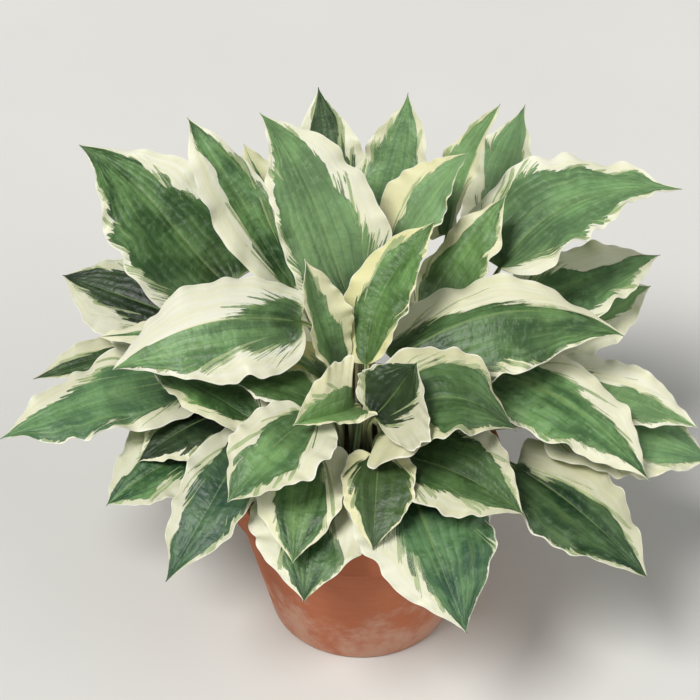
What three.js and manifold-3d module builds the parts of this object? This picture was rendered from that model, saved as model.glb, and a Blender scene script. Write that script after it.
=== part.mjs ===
// A variegated hosta in a plain clay pot: the pot, the soil and each leaf with its stalk.
// Millimetres, +Z up, origin at the middle of the pot's base.

import * as THREE from "three";
import { mergeVertices } from "three/addons/utils/BufferGeometryUtils.js";
import Module from "manifold-3d";

const wasm = await Module();
wasm.setup();

// Pot: a tapered body with a thicker rim band and three drain holes round the middle of its floor.
const POT_HEIGHT = 200;
const POT_BASE_RADIUS = 95;
const POT_BODY_RADIUS = 131;
const POT_RIM_RADIUS = 140;
const POT_RIM_HEIGHT = 36;
const POT_WALL = 8;
const POT_FLOOR = 12;
const POT_BEVEL = 3;
const POT_SIDES = 48;
const DRAIN_RADIUS = 7;
const DRAIN_CIRCLE = 50;
const DRAIN_COUNT = 3;
const DRAIN_SIDES = 16;

// Soil: level where the stalks stand, dipping a little towards the pot's wall.
const SOIL_TOP = 182;
const SOIL_FLAT_RADIUS = 88;
const SOIL_EDGE_DROP = 6;
const CLEARANCE = 0.35;

// Stalks: stout channels, each in a plain hole of the soil.
const STALK_HALF_WIDTH = 3.2;
const STALK_THICKNESS = 5;
const STALK_BURIED = 15;
const STALK_HOLE_RADIUS = 4.2;
const HOLE_SIDES = 12;
const CUT_MARGIN = 5;
// How far a stalk rises straight up before it leans out, as a share of the way to its heel,
// how much wider it is at the soil, and how far along the blade it has spread out flat.
const STALK_RISE = 0.38;
const STALK_FLARE = 0.1;
const STALK_FADE = 0.1;

// Blades: the fold at the heel opens out along HEEL_LENGTH, and the sides curl from CURL_START on.
const BLADE_THICKNESS = 0.9;
const SMALLEST_HALF_WIDTH = 0.5;
const HEEL_FOLD = 40;
const HEEL_LENGTH = 0.05;
const CURL_START = 0.12;
// The edge is waved, more and more from EDGE_POWER's middle out, each side in its own rhythm.
const WAVES_PER_BLADE = 2.4;
const EDGE_POWER = 2.4;
const OTHER_EDGE_SHIFT = 1.9;
const LEAF_TO_LEAF_SHIFT = 2.4;
// The heart-shaped heel: its lobes are swept back most at LOBE_PLACE along the blade.
const LOBE_PLACE = 0.13;
const LOBE_POWER = 1.4;

// Places of the cross-sections along a leaf: -1 at the soil, 0 at the heel of the blade, 1 at its tip,
// and of the lengthwise lines across it, from one edge to the other.
const STALK_SECTIONS = [-1, -0.75, -0.5, -0.25];
const BLADE_SECTIONS = [0, 0.035, 0.1, 0.2, 0.34, 0.48, 0.62, 0.76, 0.9, 0.96, 1];
const ACROSS = [-1, -0.55, 0, 0.55, 1];

// Colours, as seen in daylight.
const CLAY = "#b5694a";
const EARTH = "#3a2b20";
const LEAF_UPPER = "#6f9468";
const LEAF_LOWER = "#4f7f63";
const LEAF_YOUNG = "#8fa866";
// The leaves of the middle are young and yellowish, those low down are bluish.
const YOUNG_LEAVES = [5, 6, 7, 16, 17];
const LOW_HEEL = 82;

// One row for each leaf, with heights above the soil.
// foot: where the stalk stands. heel, tip: the two ends of the blade's midrib. width: of the blade.
// arch, sweep: how far the midrib is drawn up and sideways, near the heel and near the tip.
// lean: [roll, fold, curl] in degrees. wave: height of the edge's waves.
// peak: where the blade is widest, 1 for the middle and less for nearer the heel. lobe: how far the
// heel's lobes reach back, as a share of the length. skew: how much wider one side is.
// bend: how straight the stalk runs into the heel.
const ORDINARY = { sweep: [0, 0], peak: 0.72, lobe: 0.15, skew: 0, bend: 0.3 };
const LEAVES = [
  { foot: [-36, 34], heel: [-135, 135, 120], tip: [-290, 250, 215], width: 146, arch: [14, 10],
    sweep: [12, -22], lean: [-12, 8, -10], wave: 6, peak: 0.6 },
  { foot: [-20, 36], heel: [-70, 110, 140], tip: [-175, 225, 265], width: 72, arch: [10, 5],
    sweep: [8, 0], lean: [-6, 14, -10], wave: 5, peak: 1, skew: 0.1 },
  { foot: [-6, 26], heel: [-15, 75, 155], tip: [-100, 180, 300], width: 120, arch: [8, 4],
    sweep: [-4, -22], lean: [0, 12, -14], wave: 4, peak: 0.7, lobe: 0.08, skew: -0.1 },
  { foot: [-20, 13], heel: [-60, 35, 155], tip: [-240, 0, 125], width: 122, arch: [40, 34],
    lean: [-22, -12, -14], wave: 4, lobe: 0.1 },
  { foot: [-10, 6], heel: [-25, 15, 115], tip: [-55, 45, 225], width: 66, arch: [0, 0],
    sweep: [6, 6], lean: [8, 30, -5], wave: 3, peak: 0.85, lobe: 0.02 },
  { foot: [1, 13], heel: [5, 15, 120], tip: [70, 85, 240], width: 70, arch: [10, 4],
    sweep: [26, 16], lean: [0, 16, -16], wave: 3, peak: 0.8, lobe: 0.04 },
  { foot: [18, 24], heel: [65, 120, 110], tip: [145, 170, 210], width: 70, arch: [6, 2],
    sweep: [4, 4], lean: [10, 10, -10], wave: 5, skew: -0.3 },
  { foot: [8, 38], heel: [30, 150, 155], tip: [105, 185, 250], width: 90, arch: [6, 2],
    sweep: [16, 10], lean: [6, 14, -10], wave: 3, peak: 0.6, skew: -0.1 },
  { foot: [2, 54], heel: [12, 188, 125], tip: [47, 266, 268], width: 86, arch: [4, 2],
    sweep: [-2, -10], lean: [0, 14, -14], wave: 6, bend: 0.12 },
  { foot: [22, 0], heel: [30, 25, 115], tip: [255, 45, 130], width: 132, arch: [52, 58],
    sweep: [8, 8], lean: [18, -18, -10], wave: 5 },
  { foot: [32, 24], heel: [140, 140, 140], tip: [325, 200, 195], width: 146, arch: [42, 30],
    sweep: [24, 22], lean: [0, 10, -8], wave: 6, peak: 0.52, lobe: 0.05, skew: 0.12 },
  { foot: [44, 32], heel: [165, 140, 85], tip: [310, 195, 115], width: 100, arch: [12, 8],
    lean: [8, 10, -16], wave: 4 },
  { foot: [58, 28], heel: [175, 125, 50], tip: [305, 200, 70], width: 104, arch: [14, 10],
    lean: [8, 8, -16], wave: 3 },
  { foot: [-10, 62], heel: [-25, 190, 110], tip: [-45, 305, 250], width: 96, arch: [4, 2],
    lean: [0, 12, -14], wave: 4, bend: 0.12 },
  { foot: [34, 52], heel: [135, 275, 80], tip: [170, 295, 235], width: 104, arch: [4, 2],
    sweep: [-8, -8], lean: [0, 12, -10], wave: 4, bend: 0.12 },
  { foot: [20, 50], heel: [90, 210, 130], tip: [140, 250, 265], width: 60, arch: [2, -4],
    sweep: [18, 12], lean: [-10, 26, -10], wave: 3, bend: 0.12 },
  { foot: [-22, 58], heel: [-75, 180, 135], tip: [-120, 230, 230], width: 70, arch: [4, 2],
    lean: [0, 16, -10], wave: 4, bend: 0.12 },
  { foot: [-50, 34], heel: [-165, 115, 85], tip: [-310, 180, 100], width: 112, arch: [14, 10],
    sweep: [8, 8], lean: [-22, 8, -16], wave: 4 },
  { foot: [-60, 24], heel: [-195, 115, 50], tip: [-335, 85, 40], width: 60, arch: [18, 14],
    lean: [-10, 8, -14], wave: 3 },
  { foot: [-38, 20], heel: [-135, 70, 100], tip: [-265, 85, 95], width: 50, arch: [14, 12],
    lean: [0, 8, -14], wave: 3 },
  { foot: [-58, 10], heel: [-170, 60, 60], tip: [-360, 5, 30], width: 112, arch: [22, 18],
    lean: [-2, 6, -16], wave: 6 },
  { foot: [-52, -2], heel: [-135, 25, 48], tip: [-220, -25, 28], width: 96, arch: [14, 10],
    lean: [0, 10, -16], wave: 3 },
  { foot: [-58, -12], heel: [-155, -5, 26], tip: [-250, -60, 2], width: 108, arch: [16, 12],
    lean: [0, 14, -16], wave: 3 },
  { foot: [-44, -22], heel: [-110, -35, 65], tip: [-185, -160, 0], width: 80, arch: [22, 16],
    sweep: [8, 8], lean: [0, 12, -18], wave: 5 },
  { foot: [-22, -24], heel: [-50, -55, 110], tip: [-125, -135, 80], width: 100, arch: [18, 12],
    lean: [0, 14, -16], wave: 4, lobe: 0.08, skew: 0.14 },
  { foot: [-13, -40], heel: [-45, -60, 70], tip: [-65, -170, 35], width: 88, arch: [16, 10],
    lean: [0, 12, -14], wave: 4, skew: -0.12 },
  { foot: [-20, -52], heel: [-45, -70, 45], tip: [-55, -190, 5], width: 116, arch: [14, 10],
    lean: [0, 10, -16], wave: 5 },
  { foot: [-36, -6], heel: [-110, -25, 85], tip: [-210, 45, 90], width: 66, arch: [12, 8],
    lean: [0, 14, -14], wave: 3 },
  { foot: [-22, -8], heel: [-40, -15, 95], tip: [-125, 0, 110], width: 58, arch: [10, 8],
    lean: [0, 12, -14], wave: 2 },
  { foot: [-29, 5], heel: [-40, 42, 80], tip: [-95, 45, 112], width: 54, arch: [8, 6],
    lean: [-10, 22, -10], wave: 2 },
  { foot: [-9, -21], heel: [-8, -50, 122], tip: [-65, -85, 130], width: 78, arch: [-4, 4],
    lean: [-25, 50, -20], wave: 3, peak: 0.48, lobe: 0.25, skew: -0.3, bend: 0.12 },
  { foot: [9, -4], heel: [11, -62, 122], tip: [50, -46, 173], width: 102, arch: [-4, 0],
    lean: [26, 26, -12], wave: 3, lobe: 0.06, skew: -0.3, bend: 0.1 },
  { foot: [16, -22], heel: [20, -55, 95], tip: [145, -60, 100], width: 116, arch: [62, 54],
    lean: [12, 10, -16], wave: 6, lobe: 0.32, skew: 0.1 },
  { foot: [28, -30], heel: [45, -65, 70], tip: [150, -120, 50], width: 108, arch: [16, 14],
    lean: [12, 14, -10], wave: 4 },
  { foot: [5, -46], heel: [15, -75, 78], tip: [9, -163, 46], width: 70, arch: [12, 8],
    lean: [0, 20, -20], wave: 2, skew: 0.06 },
  { foot: [24, -46], heel: [45, -85, 50], tip: [95, -220, -5], width: 136, arch: [20, 12],
    sweep: [-4, -4], lean: [0, 8, -14], wave: 4, peak: 0.58 },
  { foot: [50, -22], heel: [150, -35, 30], tip: [270, -145, -10], width: 106, arch: [18, 14],
    lean: [4, 10, -16], wave: 5 },
  { foot: [36, 8], heel: [135, 35, 90], tip: [275, -70, 45], width: 100, arch: [24, 20],
    sweep: [8, 8], lean: [6, 4, -16], wave: 4 },
  { foot: [50, 18], heel: [200, 60, 65], tip: [330, 0, 50], width: 78, arch: [16, 12],
    lean: [8, 4, -14], wave: 3 },
  { foot: [58, -4], heel: [190, 10, 45], tip: [350, -5, 10], width: 120, arch: [16, 12],
    lean: [4, 8, -14], wave: 4 },
  { foot: [-30, 68], heel: [-22, 115, 45], tip: [-50, 280, 20], width: 100, arch: [20, 18],
    lean: [0, 10, -16], wave: 4 },
  { foot: [26, 66], heel: [60, 125, 40], tip: [120, 260, 20], width: 108, arch: [20, 18],
    lean: [0, 10, -16], wave: 4 },
  { foot: [-42, 50], heel: [-90, 105, 25], tip: [-185, 225, 5], width: 96, arch: [20, 18],
    lean: [0, 10, -16], wave: 4 },
  { foot: [54, 44], heel: [115, 95, 30], tip: [240, 195, 5], width: 100, arch: [18, 16],
    lean: [0, 10, -16], wave: 4 },
  { foot: [6, 70], heel: [10, 130, 65], tip: [20, 290, 60], width: 92, arch: [20, 18],
    lean: [0, 10, -16], wave: 4 },
];

const UP = new THREE.Vector3(0, 0, 1);
const radians = THREE.MathUtils.degToRad;

/** The sum of vectors, each times its own factor. */
function blend(...terms) {
  const sum = new THREE.Vector3();
  for (const [vector, factor] of terms) {
    sum.addScaledVector(vector, factor);
  }
  return sum;
}

/** A point of the cubic curve with the four control points p, at t from 0 to 1. */
function cubicPoint(p, t) {
  const u = 1 - t;
  return blend([p[0], u * u * u], [p[1], 3 * u * u * t], [p[2], 3 * u * t * t], [p[3], t * t * t]);
}

/** The unit direction of the same curve. */
function cubicDirection(p, t) {
  const u = 1 - t;
  const a = u * u;
  const b = 2 * u * t;
  const c = t * t;
  return blend([p[0], -a], [p[1], a - b], [p[2], b - c], [p[3], c]).normalize();
}

/** Reads a row of the table and lays out the leaf's two midlines, the stalk's and the blade's. */
function readLeaf(row, index) {
  const leaf = { ...ORDINARY, ...row };
  const heel = new THREE.Vector3(...leaf.heel);
  const tip = new THREE.Vector3(...leaf.tip);
  const base = new THREE.Vector3(...leaf.foot, 0);
  const chord = blend([tip, 1], [heel, -1]);
  const along = chord.clone().normalize();
  const side = new THREE.Vector3().crossVectors(UP, along).normalize();
  const upward = new THREE.Vector3().crossVectors(along, side);
  const [arch, sweep] = [leaf.arch, leaf.sweep];
  const blade = [
    heel,
    blend([heel, 1], [chord, 1 / 3], [upward, arch[0]], [side, sweep[0]]),
    blend([heel, 1], [chord, 2 / 3], [upward, arch[1]], [side, sweep[1]]),
    tip,
  ];
  const reach = heel.distanceTo(base);
  const out = blend([base, 1], [UP, STALK_RISE * reach]);
  const into = blend([heel, 1], [cubicDirection(blade, 0), -leaf.bend * reach]);
  const [roll, fold, curl] = leaf.lean.map(radians);
  const phase = LEAF_TO_LEAF_SHIFT * (index + 1);
  const stalk = [base, out, into, heel];
  return { ...leaf, blade, stalk, side, length: chord.length(), roll, fold, curl, phase };
}

/** Half the blade's width at t, as a share of the widest part: rounded heel, drawn-out tip. */
function outline(t, peak) {
  const sine = Math.max(Math.sin(Math.PI * Math.pow(t, peak)), 0);
  return Math.pow(sine, 0.7 + 0.5 * Math.pow(t, 4));
}

/**
 * A point of the leaf's middle surface: q runs along it (-1 soil, 0 heel, 1 tip) and v across it
 * (-1 to 1). Across, the half leaf is an arc that leaves the midline at the fold angle and turns by
 * the curl angle on its way to the edge. The edge is waved, and the heel's lobes are swept back.
 */
function leafPoint(leaf, q, v) {
  const onStalk = q < 0;
  const t = Math.max(q, 0);
  const grown = Math.min(q + 1, 1);
  const curve = onStalk ? leaf.stalk : leaf.blade;
  const place = cubicPoint(curve, onStalk ? grown : t);
  const ahead = cubicDirection(curve, onStalk ? grown : t);
  const level = blend([leaf.side, 1], [ahead, -ahead.dot(leaf.side)]).normalize();
  const above = new THREE.Vector3().crossVectors(ahead, level);
  const turn = leaf.roll * grown;
  const left = blend([level, Math.cos(turn)], [above, Math.sin(turn)]);
  const normal = blend([above, Math.cos(turn)], [level, -Math.sin(turn)]);

  const hand = Math.sign(v);
  const out = Math.abs(v);
  const blade = (leaf.width / 2) * outline(t, leaf.peak) * (1 + leaf.skew * hand);
  const halfWidth = onStalk
    ? STALK_HALF_WIDTH * (1 + STALK_FLARE * (1 - grown))
    : Math.max(blade + STALK_HALF_WIDTH * Math.pow(1 - t, 6), SMALLEST_HALF_WIDTH);
  const heelFold = radians(HEEL_FOLD);
  const fold = onStalk ? heelFold : leaf.fold + (heelFold - leaf.fold) * Math.exp(-t / HEEL_LENGTH);
  const curl = (onStalk ? 0 : leaf.curl * Math.min(t / CURL_START, 1)) + 1e-4;
  const across = (halfWidth * (Math.sin(fold + curl * out) - Math.sin(fold))) / curl;
  const rise = (halfWidth * (Math.cos(fold) - Math.cos(fold + curl * out))) / curl;

  const swell = Math.pow(Math.max(Math.sin(Math.PI * t), 0), 0.6);
  const shift = leaf.phase + (hand > 0 ? 0 : OTHER_EDGE_SHIFT);
  const beat = Math.sin(2 * Math.PI * WAVES_PER_BLADE * t + shift);
  const wave = leaf.wave * Math.pow(out, EDGE_POWER) * swell * beat;
  const near = t / LOBE_PLACE;
  const lobe = leaf.length * leaf.lobe * near * Math.exp(1 - near) * Math.pow(out, LOBE_POWER);
  return blend([place, 1], [ahead, onStalk ? 0 : -lobe], [left, across * hand], [normal, rise + wave]);
}

/** The leaf's thickness at q and v: the stalk is stout and rounded, and dies away into the blade. */
function thickness(q, v) {
  const spread = Math.max(0.4 * (1 - q / STALK_FADE), 0);
  const share = q < 0 ? Math.min(0.4 - 2.4 * q, 1) : spread;
  const stalk = STALK_THICKNESS * (1 - 0.45 * v * v);
  return BLADE_THICKNESS + share * (stalk - BLADE_THICKNESS);
}

/** A geometry from points and triangles, turned to face outwards. */
function facingOut(points, triangles) {
  let volume = 0;
  for (const [a, b, c] of triangles) {
    volume += points[a].dot(new THREE.Vector3().crossVectors(points[b], points[c]));
  }
  const ordered = volume > 0 ? triangles : triangles.map(([a, b, c]) => [a, c, b]);
  const geometry = new THREE.BufferGeometry().setFromPoints(points);
  geometry.setIndex(ordered.flat());
  return geometry;
}

/** The triangles of a grid of rows by columns, split alike to both sides of its middle column. */
function gridTriangles(rows, columns) {
  const triangles = [];
  for (let i = 0; i + 1 < rows; i += 1) {
    for (let j = 0; j + 1 < columns; j += 1) {
      const a = i * columns + j;
      const b = a + 1;
      const c = b + columns;
      const d = a + columns;
      const leftHalf = j < (columns - 1) / 2;
      triangles.push(...(leftHalf ? [[a, b, c], [a, c, d]] : [[a, b, d], [b, c, d]]));
    }
  }
  return triangles;
}

/** The edges round a grid of rows by columns, each as the pair of its ends. */
function gridRim(rows, columns) {
  const rim = [];
  for (let i = 0; i + 1 < rows; i += 1) {
    rim.push([i * columns, (i + 1) * columns]);
    rim.push([(i + 2) * columns - 1, (i + 1) * columns - 1]);
  }
  const last = (rows - 1) * columns;
  for (let j = 0; j + 1 < columns; j += 1) {
    rim.push([j + 1, j]);
    rim.push([last + j, last + j + 1]);
  }
  return rim;
}

/** The normal at each point, from the triangles round it. */
function pointNormals(points, triangles) {
  const normals = points.map(() => new THREE.Vector3());
  for (const [a, b, c] of triangles) {
    const first = blend([points[b], 1], [points[a], -1]);
    const second = blend([points[c], 1], [points[a], -1]);
    const normal = new THREE.Vector3().crossVectors(first, second);
    for (const corner of [a, b, c]) {
      normals[corner].add(normal);
    }
  }
  return normals.map((normal) => normal.normalize());
}

/**
 * The closed solid of a leaf: its middle surface is laid out as a grid, and the upper and lower faces
 * lie half the thickness to either side of it, split into triangles alike.
 */
function leafGeometry(leaf) {
  const sections = [-1, ...STALK_SECTIONS, ...BLADE_SECTIONS];
  const middle = [];
  const halfThickness = [];
  sections.forEach((q, row) => {
    for (const v of ACROSS) {
      const point = leafPoint(leaf, q, v);
      point.z -= row === 0 ? STALK_BURIED : 0;
      middle.push(point);
      halfThickness.push(thickness(q, v) / 2);
    }
  });

  const faces = gridTriangles(sections.length, ACROSS.length);
  const normals = pointNormals(middle, faces);
  const oneSide = middle.map((point, k) => blend([point, 1], [normals[k], -halfThickness[k]]));
  const otherSide = middle.map((point, k) => blend([point, 1], [normals[k], halfThickness[k]]));
  const count = middle.length;
  const triangles = [];
  for (const [a, b, c] of faces) {
    triangles.push([c, b, a], [a + count, b + count, c + count]);
  }
  for (const [a, b] of gridRim(sections.length, ACROSS.length)) {
    triangles.push([a, a + count, b + count], [a, b + count, b]);
  }
  return facingOut([...oneSide, ...otherSide], triangles);
}

/** Merges a closed geometry's shared corners and drops the triangles that have no area. */
function closed(geometry) {
  geometry.deleteAttribute("normal");
  geometry.deleteAttribute("uv");
  const merged = mergeVertices(geometry, 1e-3);
  const place = merged.attributes.position;
  const points = [];
  for (let i = 0; i < place.count; i += 1) {
    points.push(new THREE.Vector3().fromBufferAttribute(place, i));
  }
  const triangles = [];
  for (let i = 0; i < merged.index.count; i += 3) {
    const [a, b, c] = merged.index.array.slice(i, i + 3);
    if (a !== b && b !== c && c !== a) {
      triangles.push([a, b, c]);
    }
  }
  return facingOut(points, triangles);
}

function toSolid(geometry) {
  const source = closed(geometry);
  const mesh = new wasm.Mesh({
    numProp: 3,
    vertProperties: Float32Array.from(source.attributes.position.array),
    triVerts: Uint32Array.from(source.index.array),
  });
  return new wasm.Manifold(mesh);
}

function toGeometry(solid) {
  const mesh = solid.getMesh();
  const geometry = new THREE.BufferGeometry();
  geometry.setAttribute("position", new THREE.BufferAttribute(Float32Array.from(mesh.vertProperties), 3));
  geometry.setIndex([...mesh.triVerts]);
  return geometry;
}

/** A turned body from [radius, height] pairs that start and end on the axis. */
function turned(profile) {
  const points = profile.map(([radius, height]) => new THREE.Vector2(radius, height));
  const geometry = new THREE.LatheGeometry(points, POT_SIDES);
  geometry.rotateX(Math.PI / 2);
  return toSolid(geometry);
}

/** An upright prism round (x, y), from the height bottom to the height top, used to cut a hole. */
function pin([x, y], bottom, top, radius, sides) {
  const outer = radius / Math.cos(Math.PI / sides);
  const geometry = new THREE.CylinderGeometry(outer, outer, top - bottom, sides);
  geometry.rotateX(Math.PI / 2);
  geometry.translate(x, y, (bottom + top) / 2);
  return toSolid(geometry);
}

/** The pot's inner radius at a height. */
function innerRadius(height) {
  const taper = (POT_BODY_RADIUS - POT_BASE_RADIUS) / (POT_HEIGHT - POT_RIM_HEIGHT);
  return POT_BASE_RADIUS + taper * height - POT_WALL;
}

function potGeometry() {
  const band = POT_HEIGHT - POT_RIM_HEIGHT;
  const shoulder = POT_HEIGHT - POT_BEVEL;
  let pot = turned([
    [0, 0],
    [POT_BASE_RADIUS - POT_BEVEL, 0],
    [POT_BASE_RADIUS, POT_BEVEL],
    [POT_BODY_RADIUS, band],
    [POT_RIM_RADIUS - 2, band],
    [POT_RIM_RADIUS - 1, band + 2],
    [POT_RIM_RADIUS, shoulder],
    [POT_RIM_RADIUS - POT_BEVEL, POT_HEIGHT],
    [innerRadius(POT_HEIGHT) + POT_BEVEL, POT_HEIGHT],
    [innerRadius(shoulder), shoulder],
    [innerRadius(POT_FLOOR), POT_FLOOR],
    [0, POT_FLOOR],
  ]);
  for (let i = 0; i < DRAIN_COUNT; i += 1) {
    const angle = (2 * Math.PI * (i + 0.25)) / DRAIN_COUNT;
    const centre = [DRAIN_CIRCLE * Math.cos(angle), DRAIN_CIRCLE * Math.sin(angle)];
    pot = pot.subtract(pin(centre, -CUT_MARGIN, POT_FLOOR + CUT_MARGIN, DRAIN_RADIUS, DRAIN_SIDES));
  }
  return toGeometry(pot);
}

function soilGeometry(leaves) {
  const bottom = POT_FLOOR + CLEARANCE;
  const edge = SOIL_TOP - SOIL_EDGE_DROP;
  let soil = turned([
    [0, bottom],
    [innerRadius(bottom) - CLEARANCE, bottom],
    [innerRadius(edge) - CLEARANCE, edge],
    [SOIL_FLAT_RADIUS, SOIL_TOP],
    [0, SOIL_TOP],
  ]);
  const floor = SOIL_TOP - STALK_BURIED - CLEARANCE;
  for (const leaf of leaves) {
    soil = soil.subtract(pin(leaf.foot, floor, SOIL_TOP + CUT_MARGIN, STALK_HOLE_RADIUS, HOLE_SIDES));
  }
  return toGeometry(soil);
}

function piece(name, geometry, color, roughness) {
  const mesh = new THREE.Mesh(geometry, new THREE.MeshStandardMaterial({ color, roughness, metalness: 0 }));
  mesh.name = name;
  return mesh;
}

const group = new THREE.Group();
const leaves = LEAVES.map(readLeaf);
group.add(piece("pot", potGeometry(), CLAY, 0.85));
group.add(piece("soil", soilGeometry(leaves), EARTH, 0.95));
leaves.forEach((leaf, index) => {
  const number = index + 1;
  const grown = leaf.blade[0].z < LOW_HEEL ? LEAF_LOWER : LEAF_UPPER;
  const color = YOUNG_LEAVES.includes(number) ? LEAF_YOUNG : grown;
  const name = `leaf_${String(number).padStart(2, "0")}`;
  const mesh = piece(name, leafGeometry(leaf), color, 0.45);
  mesh.position.z = SOIL_TOP;
  group.add(mesh);
});

export default group;
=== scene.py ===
"""A variegated hosta in a plain clay pot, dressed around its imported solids.

Sizes are written in millimetres, as on the solids, and go into the meshes in metres. Angles are
in radians, but for the camera, the lights, the leaves' lean and sharp edges, which have degrees."""

import math

import bmesh
import bpy
import numpy as np
from mathutils import Euler, Matrix, Vector


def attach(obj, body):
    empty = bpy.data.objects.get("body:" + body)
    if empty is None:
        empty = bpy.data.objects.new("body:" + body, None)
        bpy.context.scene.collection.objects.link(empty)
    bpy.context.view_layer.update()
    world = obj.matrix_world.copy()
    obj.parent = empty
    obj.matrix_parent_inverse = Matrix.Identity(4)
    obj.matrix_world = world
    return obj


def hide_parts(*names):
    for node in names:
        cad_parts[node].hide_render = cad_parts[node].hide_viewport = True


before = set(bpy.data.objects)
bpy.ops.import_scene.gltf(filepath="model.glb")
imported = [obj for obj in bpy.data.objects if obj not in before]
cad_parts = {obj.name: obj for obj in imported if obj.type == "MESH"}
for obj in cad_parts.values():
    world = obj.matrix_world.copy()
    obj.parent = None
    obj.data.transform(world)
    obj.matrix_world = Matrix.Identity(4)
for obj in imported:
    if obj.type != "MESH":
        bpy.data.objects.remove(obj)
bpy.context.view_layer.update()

MM = 0.001
TAU = 2 * math.pi

# The camera of the photograph, which looks along +Y and down. Its place is in metres.
CAMERA_PLACE = (-0.012, -1.4582, 1.5557)
CAMERA_ELEVATION = 40
CAMERA_REACH = 100
FOCAL_PIXELS = 2000
PICTURE_PIXELS = 700
SENSOR = 36

# The light, with its places in metres, and the floor.
LIT_POINT = (0, 0.05, 0.25)
KEY_PLACE = (-1.2, -0.9, 2.6)
KEY_STRENGTH = 2.7
KEY_SPREAD = 24
FILL_PLACE = (1.8, -0.6, 1.5)
FILL_STRENGTH = 0.8
FILL_SPREAD = 45
SKY_STRENGTH = 0.27
FLOOR_RADIUS = 12000
FLOOR_SIDES = 96

# The pot, as on the solids.
POT_HEIGHT = 200
POT_BASE_RADIUS = 95
POT_BODY_RADIUS = 131
POT_RIM_RADIUS = 140
POT_RIM_HEIGHT = 36
POT_WALL = 8
POT_FLOOR = 12
DRAIN_RADIUS = 7
DRAIN_CIRCLE = 50
DRAIN_COUNT = 3

# What the fine pot has besides. The pitches of its marks are in radians to a millimetre.
RIM_TAPER = 1.4
BASE_ROUNDING = 3.5
BAND_ROUNDING = 1.2
RIM_FOOT_ROUNDING = 2.2
LIP_ROUNDING = 4
INNER_LIP_ROUNDING = 3.5
INNER_FLOOR_ROUNDING = 4
ROUNDING_STEPS = 6
POT_STEP = 2.5
POT_SEGMENTS = 192
SMALLEST_RADIUS = 0.5
RING_DEPTH = 0.22
RING_PITCH = 0.9
RING_WANDER = 0.6
RING_GROUP_PITCH = 0.13
OVAL_DEPTH = 0.35
FIVE_SIDED_DEPTH = 0.15
FIVE_SIDED_PITCH = 0.02
MARKS_INSET = 0.5
MARKS_START_RADIUS = 20
DRILL_SEGMENTS = 40
DRILL_OVERRUN = 5
DRILL_TURN = 0.05

# The soil, as on the solids.
SOIL_TOP = 182
SOIL_FLAT_RADIUS = 88
SOIL_EDGE_DROP = 6
CLEARANCE = 0.35

# What the fine soil has besides: its lumps and crumbs.
SOIL_SIDE_GAP = 0.3
SOIL_RINGS = 90
SOIL_SEGMENTS = 260
SOIL_SHOULDER_WIDTH = 1
SOIL_SHOULDER_HEIGHT = 8
LUMP_LENGTHS = (4, 26)
LUMP_HEIGHT = 1.6
CLOD_HEIGHT = 1.8
SMOOTH_EDGE = 3
CRUMBS = 260
CRUMB_RINGS = 5
CRUMB_SIDES = 7
CRUMB_SIZES = (0.9, 3.4)
CRUMB_STRETCH = (0.5, 1.3)
CRUMB_DENTS = (0.75, 1.2)
CRUMB_SPREAD_RADIUS = 112
CRUMB_EDGE_RADIUS = 118
CRUMB_RISE = 1.5

# The leaves, as on the solids.
STALK_HALF_WIDTH = 3.2
STALK_THICKNESS = 5
STALK_ROUNDNESS = 0.85
STALK_BURIED = 15
STALK_RISE = 0.38
STALK_FLARE = 0.1
STALK_FADE = 0.1
HEEL_STOUTNESS = 0.4
STOUTNESS_RISE = 2.4
SMALLEST_HALF_WIDTH = 0.5
BLADE_FULLNESS = 0.7
TIP_DRAW = 0.5
HEEL_FOLD = math.radians(40)
HEEL_LENGTH = 0.05
CURL_START = 0.12
SMALLEST_CURL = 1e-4
EDGE_POWER = 2.4
SWELL_POWER = 0.6
OTHER_EDGE_SHIFT = 1.9
LEAF_TO_LEAF_SHIFT = 2.4
LOBE_PLACE = 0.13
LOBE_POWER = 1.4

# The waves of a leaf's edges: beats to a blade, and how far their start moves from leaf to leaf.
WAVES = (2.4, 1.0)
RIPPLES = (5.3, 1.7)
FRILLS = (9.7, 2.6)
SCALLOPS = (4.3, 2.1)
FINE_SCALLOPS = (7.74, 0.7)

# What the fine leaves have besides.
BLADE_THICKNESS = 0.6
EDGE_THINNING = 0.45
RIPPLE_SHARE = 0.5
FRILL_HEIGHT = 1.6
FRILL_POWER = 6
SCALLOP_SHARE = 0.035
FINE_SCALLOP_SHARE = 0.6
FULL_WIDTH = 110
VEIN_SPACING = 9.5
VEIN_RELIEF = 0.9
RIDGE_ROUNDNESS = 0.8
RELIEF_START = 0.08
RELIEF_TIP_POWER = 0.4
RELIEF_LOST_AT_EDGE = 0.6
RELIEF_LOST_IN_WHITE = 0.65
WHITE_FADE = 0.15
DRIP_START = 0.84
DRIP_LENGTH = 0.08
COLUMNS_PER_VEIN = 4
STALK_ROWS = 18
LEAST_BLADE_ROWS = 24
BLADE_ROW_STEP = 2.8
ROWS_TO_HEEL = 1.2
SHARES_AT = (0.1, 0.3, 0.5, 0.7, 0.9)
HEEL_GREEN = 4
LANE_BEND = 0.6
LANE_START = 12
SEED_STEP = 3.17

# The leaves of the middle are young and yellowish, those low down are bluish.
YOUNG_LEAVES = (5, 6, 7, 16, 17)
LOW_HEEL = 82

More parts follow.
